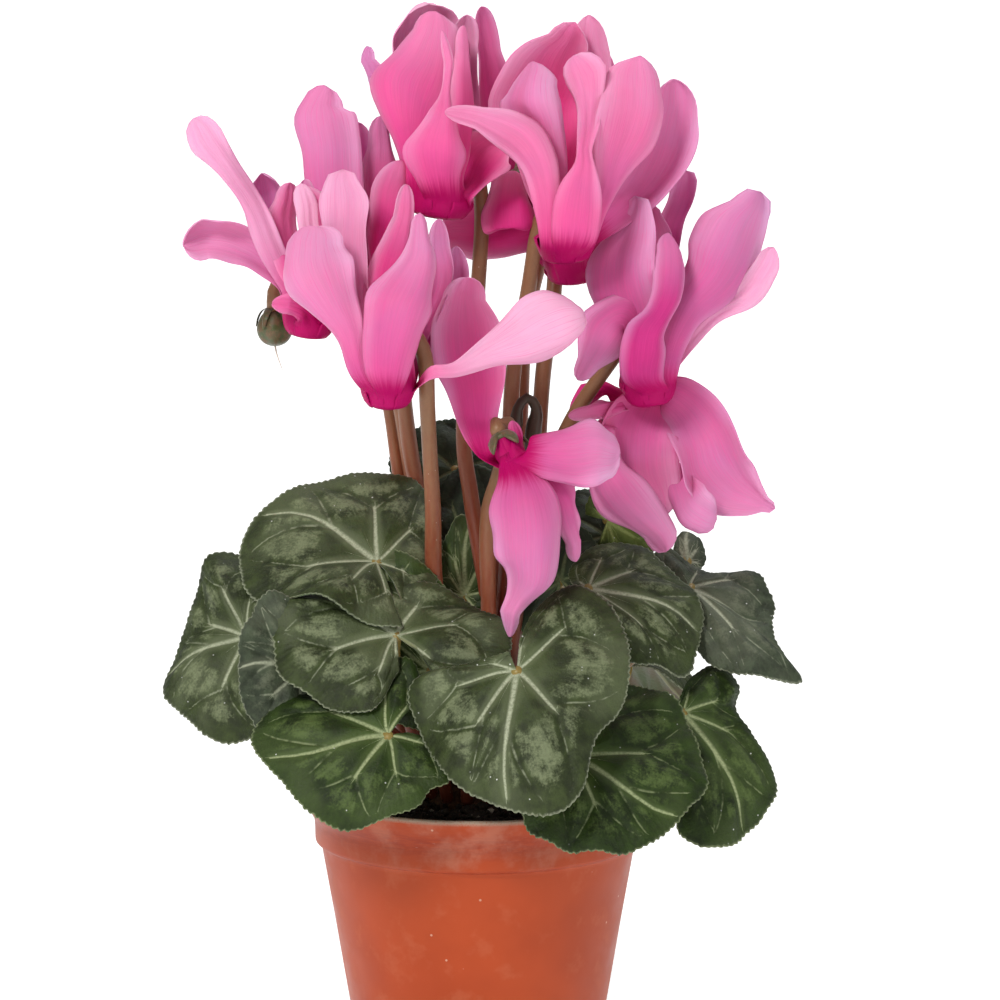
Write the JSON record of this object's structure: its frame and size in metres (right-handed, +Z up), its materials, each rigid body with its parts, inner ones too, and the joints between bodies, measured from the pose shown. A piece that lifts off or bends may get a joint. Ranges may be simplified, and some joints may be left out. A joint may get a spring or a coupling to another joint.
{
  "type": "potted cyclamen",
  "caption": "Potted cyclamen in a terracotta-coloured plastic pot: pink reflexed flowers on tall stems over marbled heart-shaped leaves",
  "frame": {"origin": "centre of the pot's foot, where it stands on a surface", "axes": "+Z up along the pot's axis; -Y towards the side seen in the picture; +X to that view's right"},
  "size_m": [0.1835, 0.1655, 0.3192],
  "materials": {
    "pot_plastic": "satin, dusty",
    "peat_soil": "matte",
    "corm_skin": "matte",
    "leaf_blade": "satin",
    "leaf_stalk": "satin",
    "flower_stem": "satin",
    "petal": "satin",
    "capsule_skin": "satin"
  },
  "bodies": {
    "root": {"bud_stem": "flower_stem", "corm": "corm_skin", "corolla_back_centre": "petal", "corolla_back_left": "petal", "corolla_behind_right": "petal", "corolla_far_left": "petal", "corolla_left_front": "petal", "corolla_low_right": "petal", "corolla_middle": "petal", "corolla_right": "petal", "corolla_top_left": "petal", "corolla_top_right": "petal", "flower_stem_back_centre": "flower_stem", "flower_stem_back_left": "flower_stem", "flower_stem_behind_right": "flower_stem", "flower_stem_far_left": "flower_stem", "flower_stem_left_front": "flower_stem", "flower_stem_low_right": "flower_stem", "flower_stem_middle": "flower_stem", "flower_stem_right": "flower_stem", "flower_stem_top_left": "flower_stem", "flower_stem_top_right": "flower_stem", "leaf_back_centre": "leaf_blade", "leaf_back_inner": "leaf_blade", "leaf_back_right": "leaf_blade", "leaf_far_left": "leaf_blade", "leaf_far_right": "leaf_blade", "leaf_front_left": "leaf_blade", "leaf_front_middle": "leaf_blade", "leaf_front_right": "leaf_blade", "leaf_left_front": "leaf_blade", "leaf_left_upper": "leaf_blade", "leaf_low_right": "leaf_blade", "leaf_rear_left": "leaf_blade", "leaf_rear_middle": "leaf_blade", "leaf_rear_right": "leaf_blade", "leaf_right_inner": "leaf_blade", "leaf_small_back": "leaf_blade", "leaf_stalk_back_centre": "leaf_stalk", "leaf_stalk_back_inner": "leaf_stalk", "leaf_stalk_back_right": "leaf_stalk", "leaf_stalk_far_left": "leaf_stalk", "leaf_stalk_far_right": "leaf_stalk", "leaf_stalk_front_left": "leaf_stalk", "leaf_stalk_front_middle": "leaf_stalk", "leaf_stalk_front_right": "leaf_stalk", "leaf_stalk_left_front": "leaf_stalk", "leaf_stalk_left_upper": "leaf_stalk", "leaf_stalk_low_right": "leaf_stalk", "leaf_stalk_rear_left": "leaf_stalk", "leaf_stalk_rear_middle": "leaf_stalk", "leaf_stalk_rear_right": "leaf_stalk", "leaf_stalk_right_inner": "leaf_stalk", "leaf_stalk_small_back": "leaf_stalk", "leaf_stalk_young": "leaf_stalk", "leaf_young": "leaf_blade", "pot": "pot_plastic", "seed_capsule": "capsule_skin", "seed_capsule_stem": "flower_stem", "soil": "peat_soil"}
  },
  "joints": []
}
